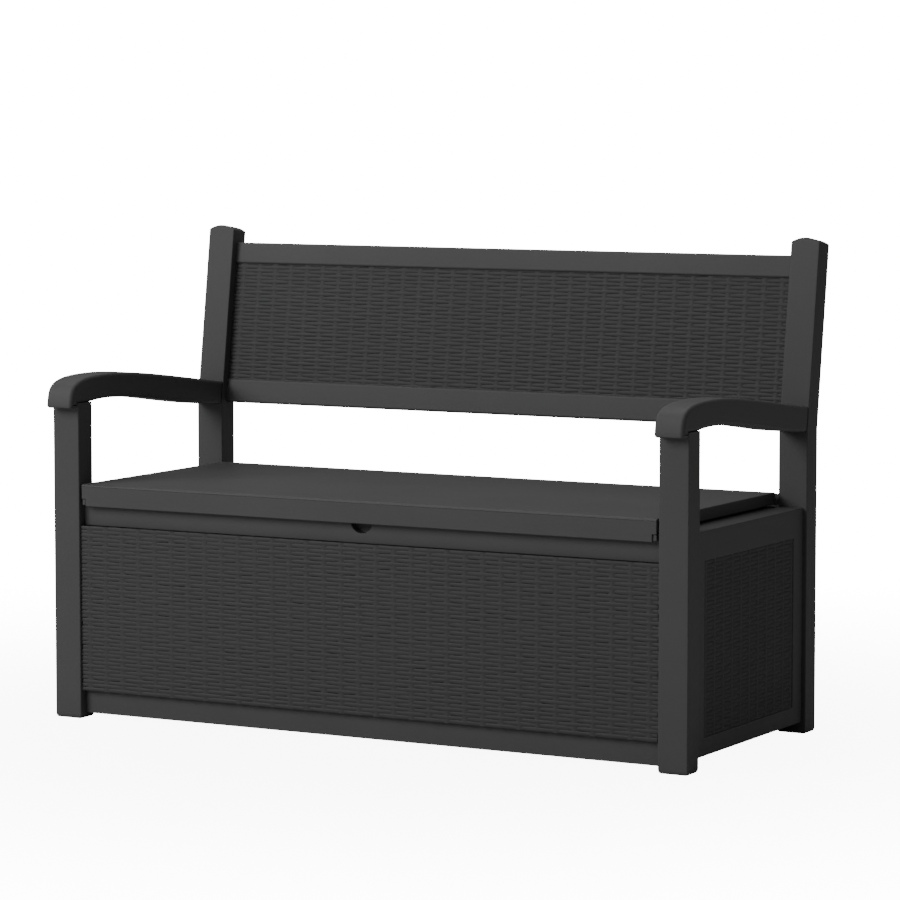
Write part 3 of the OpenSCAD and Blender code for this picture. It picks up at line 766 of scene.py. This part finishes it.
def weave_tree():
    """Interlaced strands over upright stakes, cut to a rectangular field in the XY plane."""
    g = NodeTree("Moulded weave", [
        ("Width", "NodeSocketFloat"), ("Height", "NodeSocketFloat"),
        ("Columns", "NodeSocketInt"), ("Rows", "NodeSocketInt"),
        ("Pitch", "NodeSocketFloat"), ("Row", "NodeSocketFloat"),
        ("Relief", "NodeSocketFloat"), ("Bulge", "NodeSocketFloat"),
        ("Stake", "NodeSocketFloat"),
        ("Uneven", "NodeSocketFloat"), ("Seed", "NodeSocketInt"),
        ("Material", "NodeSocketMaterial")])
    given = g.given
    # one strand segment: u runs from stake to stake, v across the strand
    blank = g.node("GeometryNodeMeshGrid", {
        "Size X": 2.0, "Size Y": 2.0, "Vertices X": 15, "Vertices Y": 6})
    place = g.node("GeometryNodeInputPosition").outputs[0]
    u, v, _ = g.split(place)
    wave = g.calc("COSINE", g.calc("MULTIPLY", u, math.pi))
    half = g.calc("MULTIPLY_ADD", wave, given["Bulge"], 0.49)
    slow = g.calc("MULTIPLY_ADD", wave, 0.5, 0.5)
    rise = g.calc("MULTIPLY_ADD", g.calc("POWER", slow, 0.8), 0.45, 0.55)
    edge = g.calc("SUBTRACT", 1.0, g.calc("POWER", g.calc("ABSOLUTE", v), 3.0))
    round_over = g.calc("MULTIPLY_ADD", edge, 0.4, -0.4)
    height = g.calc("MULTIPLY", g.calc("ADD", rise, round_over), given["Relief"])
    strand = g.node("GeometryNodeSetPosition", {
        "Geometry": blank.outputs["Mesh"],
        "Position": g.join(g.calc("MULTIPLY", u, given["Pitch"]),
                           g.calc("MULTIPLY", g.calc("MULTIPLY", v, half), given["Row"]),
                           height)})
    # painted shade in the groove between two rows, darkest midway from stake to stake and lighter
    # near the stakes as a painted highlight; stored as the crest value
    near = g.calc("MULTIPLY", wave, wave)
    groove = g.calc("POWER", g.calc("MAXIMUM", edge, 0.0),
                    g.calc("MULTIPLY_ADD", near, -0.35, 0.5))
    crest = g.calc("MULTIPLY", g.calc("MULTIPLY_ADD", near, 0.5, 0.5), groove)
    marked = g.node("GeometryNodeStoreNamedAttribute", {
        "Geometry": strand.outputs[0], "Name": "crest", "Value": crest},
        data_type="FLOAT", domain="POINT")
    # every second crossing of stakes and rows carries a strand
    wide = g.calc("MULTIPLY", g.calc("SUBTRACT", given["Columns"], 1.0), given["Pitch"])
    tall = g.calc("MULTIPLY", g.calc("SUBTRACT", given["Rows"], 1.0), given["Row"])
    net = g.node("GeometryNodeMeshGrid", {
        "Size X": wide, "Size Y": tall,
        "Vertices X": given["Columns"], "Vertices Y": given["Rows"]})
    x, y, _ = g.split(place)
    column = g.calc("ROUND", g.calc("DIVIDE", g.calc(
        "MULTIPLY_ADD", wide, 0.5, x), given["Pitch"]))
    line = g.calc("ROUND", g.calc("DIVIDE", g.calc(
        "MULTIPLY_ADD", tall, 0.5, y), given["Row"]))
    odd = g.calc("MODULO", g.calc("ADD", column, line), 2.0)
    kept = g.node("GeometryNodeDeleteGeometry", {
        "Geometry": net.outputs["Mesh"],
        "Selection": g.calc("GREATER_THAN", odd, 0.5)}, domain="POINT")
    shift = g.node("FunctionNodeRandomValue", {
        0: (-0.0007, -0.00035, 0.0), 1: (0.0007, 0.00035, 0.0), "Seed": given["Seed"]},
        data_type="FLOAT_VECTOR")
    shift = g.node("ShaderNodeVectorMath", {0: shift.outputs[0]}, operation="SCALE")
    feed(g.tree, given["Uneven"], shift.inputs["Scale"])
    moved = g.node("GeometryNodeSetPosition", {
        "Geometry": kept.outputs[0], "Offset": shift.outputs[0]})
    size = g.node("FunctionNodeRandomValue", {
        0: (1.0, 0.94, 0.82), 1: (1.0, 1.02, 1.0),
        "Seed": g.calc("ADD", given["Seed"], 11.0)}, data_type="FLOAT_VECTOR")
    turn = g.node("FunctionNodeRandomValue", {
        0: (0.0, 0.0, -0.010), 1: (0.0, 0.0, 0.010),
        "Seed": g.calc("ADD", given["Seed"], 23.0)}, data_type="FLOAT_VECTOR")
    woven = g.node("GeometryNodeInstanceOnPoints", {
        "Points": moved.outputs[0], "Instance": marked.outputs[0],
        "Rotation": turn.outputs[0], "Scale": size.outputs[0]})
    # low half-round stakes fill the grooves where the strands cross them
    first = g.node("GeometryNodeMeshLine", {
        "Count": given["Columns"],
        "Start Location": g.join(g.calc("MULTIPLY", wide, -0.5), 0.0, 0.0),
        "Offset": g.join(given["Pitch"], 0.0, 0.0)})
    blade = g.node("GeometryNodeMeshGrid", {
        "Size X": given["Stake"], "Size Y": tall, "Vertices X": 7,
        "Vertices Y": g.calc("MULTIPLY_ADD", given["Rows"], 2.0, -1.0)})
    sx, sy, _ = g.split(place)
    side = g.calc("DIVIDE", g.calc("MULTIPLY", sx, 2.0), given["Stake"])
    dome = g.calc("SUBTRACT", 1.0, g.calc("MULTIPLY", side, side))
    stake = g.node("GeometryNodeSetPosition", {
        "Geometry": blade.outputs["Mesh"],
        "Position": g.join(sx, sy, g.calc("MULTIPLY", g.calc("MULTIPLY", dome, 0.8),
                                          given["Relief"]))})
    # the stakes store a crest value of 0.9 to 1.0, so the painted shade leaves them at the full
    # strand colour
    stake = g.node("GeometryNodeStoreNamedAttribute", {
        "Geometry": stake.outputs[0], "Name": "crest",
        "Value": g.calc("MULTIPLY_ADD", dome, 0.1, 0.9)}, data_type="FLOAT", domain="POINT")
    stakes = g.node("GeometryNodeInstanceOnPoints", {
        "Points": first.outputs[0], "Instance": stake.outputs[0]})
    both = g.node("GeometryNodeJoinGeometry")
    g.tree.links.new(woven.outputs[0], both.inputs[0])
    g.tree.links.new(stakes.outputs[0], both.inputs[0])
    real = g.node("GeometryNodeRealizeInstances", {0: both.outputs[0]})
    # faces past the field's edge go, and the rest is drawn back to it
    half_w = g.calc("MULTIPLY", given["Width"], 0.5)
    half_h = g.calc("MULTIPLY", given["Height"], 0.5)
    outside = g.calc("MAXIMUM", g.calc("GREATER_THAN", g.calc("ABSOLUTE", x), half_w),
                     g.calc("GREATER_THAN", g.calc("ABSOLUTE", y), half_h))
    cut = g.node("GeometryNodeDeleteGeometry", {
        "Geometry": real.outputs[0], "Selection": outside}, domain="FACE")
    bound = g.join(g.calc("MINIMUM", g.calc("MAXIMUM", x, g.calc("MULTIPLY", half_w, -1.0)),
                          half_w),
                   g.calc("MINIMUM", g.calc("MAXIMUM", y, g.calc("MULTIPLY", half_h, -1.0)),
                          half_h), g.split(place)[2])
    trimmed = g.node("GeometryNodeSetPosition", {
        "Geometry": cut.outputs[0], "Position": bound})
    painted = g.node("GeometryNodeSetMaterial", {
        "Geometry": trimmed.outputs[0], "Material": given["Material"]})
    g.tree.links.new(painted.outputs[0], g.out)
    return g


def screw_tree():
    """One screw on each point of a mesh, its head turned along the point's own axis."""
    g = NodeTree("Screws", [("Screw", "NodeSocketObject"), ("Material", "NodeSocketMaterial")])
    axis = g.node("GeometryNodeInputNamedAttribute", {"Name": "axis"},
                  data_type="FLOAT_VECTOR")
    aim = g.node("FunctionNodeAlignRotationToVector", {"Vector": axis.outputs[0]}, axis="Z")
    twist = g.node("FunctionNodeRandomValue", {
        0: (0.0, 0.0, 0.0), 1: (0.0, 0.0, 1.5), "Seed": 5}, data_type="FLOAT_VECTOR")
    spin = g.node("FunctionNodeRotateRotation", {
        "Rotation": aim.outputs[0], "Rotate By": twist.outputs[0]}, rotation_space="LOCAL")
    screw = g.node("GeometryNodeObjectInfo", {"Object": g.given["Screw"]})
    size = g.node("GeometryNodeInputNamedAttribute", {"Name": "size"}, data_type="FLOAT")
    placed = g.node("GeometryNodeInstanceOnPoints", {
        "Points": g.given["Geometry"], "Instance": screw.outputs["Geometry"],
        "Rotation": spin.outputs[0], "Scale": size.outputs[0]})
    real = g.node("GeometryNodeRealizeInstances", {0: placed.outputs[0]})
    painted = g.node("GeometryNodeSetMaterial", {
        "Geometry": real.outputs[0], "Material": g.given["Material"]})
    g.tree.links.new(painted.outputs[0], g.out)
    return g


class BENCH_OT_weave(bpy.types.Operator):
    """Grows the moulded wicker on the box panels and on both faces of the backrest"""

    bl_idname = "bench.weave"
    bl_label = "Moulded weave"

    def execute(self, context):
        tree = weave_tree()
        x_dir, z_dir = Vector((1, 0, 0)), Vector((0, 0, 1))
        up = leaned(0, 0, 1) - leaned(0, 0, 0)
        out = leaned(0, 0, 0) - leaned(0, 1, 0)
        low_v, high_v = LOW_RAIL_V[1], TOP_RAIL_V[0]
        mid_v = (low_v + high_v) / 2
        wide = 2 * (X_IN - FIELD_GAP)
        mid_z = sum(FIELD_Z) / 2
        tall = FIELD_Z[1] - FIELD_Z[0]
        front_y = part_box("front_panel")[0].y + FIELD_IN
        rear_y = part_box("rear_panel")[1].y - FIELD_IN
        side_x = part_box("right_side_panel")[1].x - FIELD_IN
        y0 = Y_FRONT + POST_D + FIELD_GAP + SIDE_BORDER[0]
        y1 = Y_REAR - FIELD_GAP - SIDE_BORDER[1]
        mid_y = (y0 + y1) / 2
        fields = [
            ("front_panel_weave", Vector((0, front_y, mid_z)), x_dir, z_dir,
             Vector((0, -1, 0)), wide, tall, 0),
            ("rear_panel_weave", Vector((0, rear_y, mid_z)), -x_dir, z_dir,
             Vector((0, 1, 0)), wide - 2 * REAR_BORDER, tall, 1),
            ("right_side_weave", Vector((side_x, mid_y, mid_z)), Vector((0, 1, 0)), z_dir,
             x_dir, y1 - y0, tall, 2),
            ("left_side_weave", Vector((-side_x, mid_y, mid_z)), Vector((0, -1, 0)), z_dir,
             -x_dir, y1 - y0, tall, 3),
            ("backrest_front_weave", leaned(0, PANEL_U[0], mid_v), x_dir, up, out,
             wide, high_v - low_v, 4),
            ("backrest_rear_weave", leaned(0, PANEL_U[1], mid_v), -x_dir, up, -out,
             wide, high_v - low_v, 5),
        ]
        for name, centre, across, upward, outward, width, height, turn in fields:
            self.grow(tree, name, width, height, turn)
            piece = bpy.data.objects[name]
            turned = Matrix((across, upward, outward)).transposed().to_4x4()
            piece.data.transform(Matrix.Translation(centre - outward * 0.0001) @ turned)
            settle(piece, "bench", "woven_resin")
        return {"FINISHED"}

    @staticmethod
    def grow(tree, name, width, height, turn):
        """One woven field, flat in XY."""
        weave = bpy.context.scene.bench_weave
        columns = 2 * math.ceil((width / 2) / weave.pitch) + 3
        rows = 2 * math.ceil((height / 2) / weave.row) + 3
        made = grown(tree, {
            "Width": width, "Height": height, "Columns": columns, "Rows": rows,
            "Pitch": weave.pitch, "Row": weave.row, "Relief": weave.relief,
            "Bulge": weave.bulge, "Stake": weave.stake, "Uneven": weave.uneven,
            "Seed": weave.seed + 100 * turn, "Material": finish_of("woven_resin")}, name)
        bm = bmesh.new()
        bm.from_mesh(made.data)
        bmesh.ops.dissolve_degenerate(bm, dist=1e-6, edges=bm.edges)
        bm.to_mesh(made.data)
        bm.free()
        made.data.shade_smooth()
        if len(made.data.polygons) < 100:
            raise RuntimeError(f"{name} grew no strands")


# ---------------------------------------------------------------- screws


def screw_blank():
    """A pan-head screw with a cross recess, head up, its seat at the origin."""
    bm = bmesh.new()
    count = 24
    profile = [(0.50, -0.7), (0.50, 0.0), (1.0, 0.0), (1.0, 0.18), (0.94, 0.38),
               (0.80, 0.52), (0.60, 0.60)]
    rings = []
    for r, z in profile:
        rings.append([Vector((r * math.cos(math.tau * k / count),
                              r * math.sin(math.tau * k / count), z)) for k in range(count)])
    for depth in (0.62, 0.22):
        ring = []
        for k in range(count):
            a = math.tau * k / count
            near = min(k % 6, 6 - k % 6)
            r = (0.46, 0.24, 0.17, 0.17)[near] * (1.0 if depth > 0.5 else 0.72)
            ring.append(Vector((r * math.cos(a), r * math.sin(a), depth)))
        rings.append(ring)
    loft(bm, rings)
    return piece_from(bm, "screw_blank", 30)


def islands(mesh):
    """The separate solids in a mesh, each as a list of points."""
    bm = bmesh.new()
    bm.from_mesh(mesh)
    bmesh.ops.remove_doubles(bm, verts=bm.verts, dist=2e-6)
    left = set(bm.verts)
    found = []
    while left:
        todo = [left.pop()]
        group = []
        while todo:
            vert = todo.pop()
            group.append(vert.co.copy())
            for edge in vert.link_edges:
                other = edge.other_vert(vert)
                if other in left:
                    left.remove(other)
                    todo.append(other)
        found.append(group)
    bm.free()
    return found


class BENCH_OT_screws(bpy.types.Operator):
    """Sets cross-head screws where the CAD screws stand"""

    bl_idname = "bench.screws"
    bl_label = "Screws"

    def execute(self, context):
        blank = screw_blank()
        tree = screw_tree()
        lean_axis = Vector((0, math.cos(LEAN), -math.sin(LEAN)))
        sets = (("arm_screws", lean_axis, "bench"), ("backrest_screws", lean_axis, "bench"),
                ("bracket_screws", Vector((0, 0, 1)), "bench"),
                ("leaf_screws", Vector((0, 0, -1)), "lid"))
        for node, axis, body in sets:
            points, sizes = [], []
            for solid in islands(frame["nodes"][node].data):
                along = [p.dot(axis) for p in solid]
                head = [p for p in solid if p.dot(axis) > max(along) - 0.0004]
                middle = sum(head, Vector()) / len(head)
                wide = max((p - middle - axis * (p - middle).dot(axis)).length for p in solid)
                points.append(middle - axis * (0.60 * wide))
                sizes.append(wide)
            self.set_screws(tree, blank, node, points, sizes, axis, body)
        bpy.data.objects.remove(blank)
        return {"FINISHED"}

    @staticmethod
    def set_screws(tree, blank, node, points, sizes, axis, body):
        """One piece with a screw on each point."""
        mesh = bpy.data.meshes.new(f"{node}_points")
        mesh.from_pydata(points, [], [])
        facing = mesh.attributes.new("axis", "FLOAT_VECTOR", "POINT")
        facing.data.foreach_set("vector", [c for _ in points for c in axis])
        scale = mesh.attributes.new("size", "FLOAT", "POINT")
        scale.data.foreach_set("value", sizes)
        seed = bpy.data.objects.new(f"{node}_seed", mesh)
        bpy.context.scene.collection.objects.link(seed)
        modifier = seed.modifiers.new("tree", "NODES")
        modifier.node_group = tree.tree
        modifier[tree.ids["Screw"]] = blank
        modifier[tree.ids["Material"]] = finish_of("steel")
        graph = bpy.context.evaluated_depsgraph_get()
        graph.update()
        made = bpy.data.meshes.new_from_object(seed.evaluated_get(graph), depsgraph=graph)
        bpy.data.objects.remove(seed)
        if not made.polygons:
            raise RuntimeError(f"{node} has no screws")
        piece = bpy.data.objects.new(f"{node}_heads", made)
        bpy.context.scene.collection.objects.link(piece)
        settle(piece, body, "steel", node)


# ---------------------------------------------------------------- stage


class BENCH_OT_stage(bpy.types.Operator):
    """Lays the pale floor, sets the soft lights and the camera"""

    bl_idname = "bench.stage"
    bl_label = "Floor, light and camera"

    def execute(self, context):
        studio = context.scene.bench_studio
        bm = bmesh.new()
        bmesh.ops.create_grid(bm, x_segments=8, y_segments=8, size=14)
        floor = piece_from(bm, "studio_floor")
        floor.data.materials.append(floor_material())
        self.surround(context, studio)
        self.area("key_light", (-3.2, -4.9, 3.5), (0, -0.1, 0.35), 3.2, studio.key)
        self.area("top_light", (-0.7, 0.5, 4.2), (0, 0, 0), 3.6, studio.top)
        self.camera(context, studio)
        return {"FINISHED"}

    @staticmethod
    def surround(context, studio):
        """A white surround that lights gently and is seen as white."""
        world = bpy.data.worlds.new("studio_surround")
        context.scene.world = world
        world.use_nodes = True
        tree = world.node_tree
        tree.nodes.clear()
        white = (1, 1, 1, 1)
        lit = add_node(tree, "ShaderNodeBackground", {"Color": white, "Strength": studio.sky})
        seen = add_node(tree, "ShaderNodeBackground", {
            "Color": white, "Strength": studio.white})
        path = tree.nodes.new("ShaderNodeLightPath")
        mix = add_node(tree, "ShaderNodeMixShader", {
            0: path.outputs["Is Camera Ray"], 1: lit.outputs[0], 2: seen.outputs[0]})
        add_node(tree, "ShaderNodeOutputWorld", {"Surface": mix.outputs[0]})

    @staticmethod
    def area(name, place, target, size, power):
        """A large square light aimed at a point."""
        data = bpy.data.lights.new(name, "AREA")
        data.shape = "SQUARE"
        data.size = size
        data.energy = power
        made = bpy.data.objects.new(name, data)
        made.location = place
        aim = Vector(target) - Vector(place)
        made.rotation_euler = aim.to_track_quat("-Z", "Y").to_euler()
        bpy.context.scene.collection.objects.link(made)

    @staticmethod
    def camera(context, studio):
        """A long lens from the front and the bench's own left."""
        data = bpy.data.cameras.new("camera")
        data.sensor_width = 36
        data.lens = studio.lens
        data.clip_end = 60
        made = bpy.data.objects.new("camera", data)
        made.location = (3.5068, -6.26735, 1.1920)
        aim = Vector((-0.48259, 0.87071, -0.09472))
        made.rotation_euler = aim.to_track_quat("-Z", "Y").to_euler()
        context.scene.collection.objects.link(made)
        context.scene.camera = made


# ---------------------------------------------------------------- panel and running


class BENCH_PT_sidebar(bpy.types.Panel):
    """Lists the bench's pieces and settings"""

    bl_idname = "BENCH_PT_sidebar"
    bl_label = "Storage bench"
    bl_space_type = "VIEW_3D"
    bl_region_type = "UI"
    bl_category = "Bench"

    def draw(self, context):
        layout = self.layout
        for kind in OPERATORS:
            layout.operator(kind.bl_idname)
        for label, group in (("Shape", context.scene.bench_shape),
                             ("Weave", context.scene.bench_weave),
                             ("Finish", context.scene.bench_finish),
                             ("Studio", context.scene.bench_studio)):
            box = layout.box()
            box.label(text=label)
            for key in group.__annotations__:
                box.prop(group, key)


OPERATORS = (BENCH_OT_posts, BENCH_OT_armrests, BENCH_OT_backrest, BENCH_OT_box,
             BENCH_OT_lid, BENCH_OT_hinges, BENCH_OT_weave, BENCH_OT_screws,
             BENCH_OT_stage)
SETTINGS = (("bench_shape", BenchShape), ("bench_weave", BenchWeave),
            ("bench_finish", BenchFinish), ("bench_studio", BenchStudio))


def register():
    """Registers the settings, operators and panel."""
    for name, kind in SETTINGS:
        bpy.utils.register_class(kind)
        setattr(bpy.types.Scene, name, bpy.props.PointerProperty(type=kind))
    for kind in OPERATORS:
        bpy.utils.register_class(kind)
    bpy.utils.register_class(BENCH_PT_sidebar)


def unregister():
    """Takes everything out again."""
    bpy.utils.unregister_class(BENCH_PT_sidebar)
    for kind in reversed(OPERATORS):
        bpy.utils.unregister_class(kind)
    for name, kind in reversed(SETTINGS):
        delattr(bpy.types.Scene, name)
        bpy.utils.unregister_class(kind)


def main():
    """Builds every piece in order."""
    register()
    for kind in OPERATORS:
        group, name = kind.bl_idname.split(".")
        getattr(getattr(bpy.ops, group), name)()


if __name__ == "__main__":
    main()
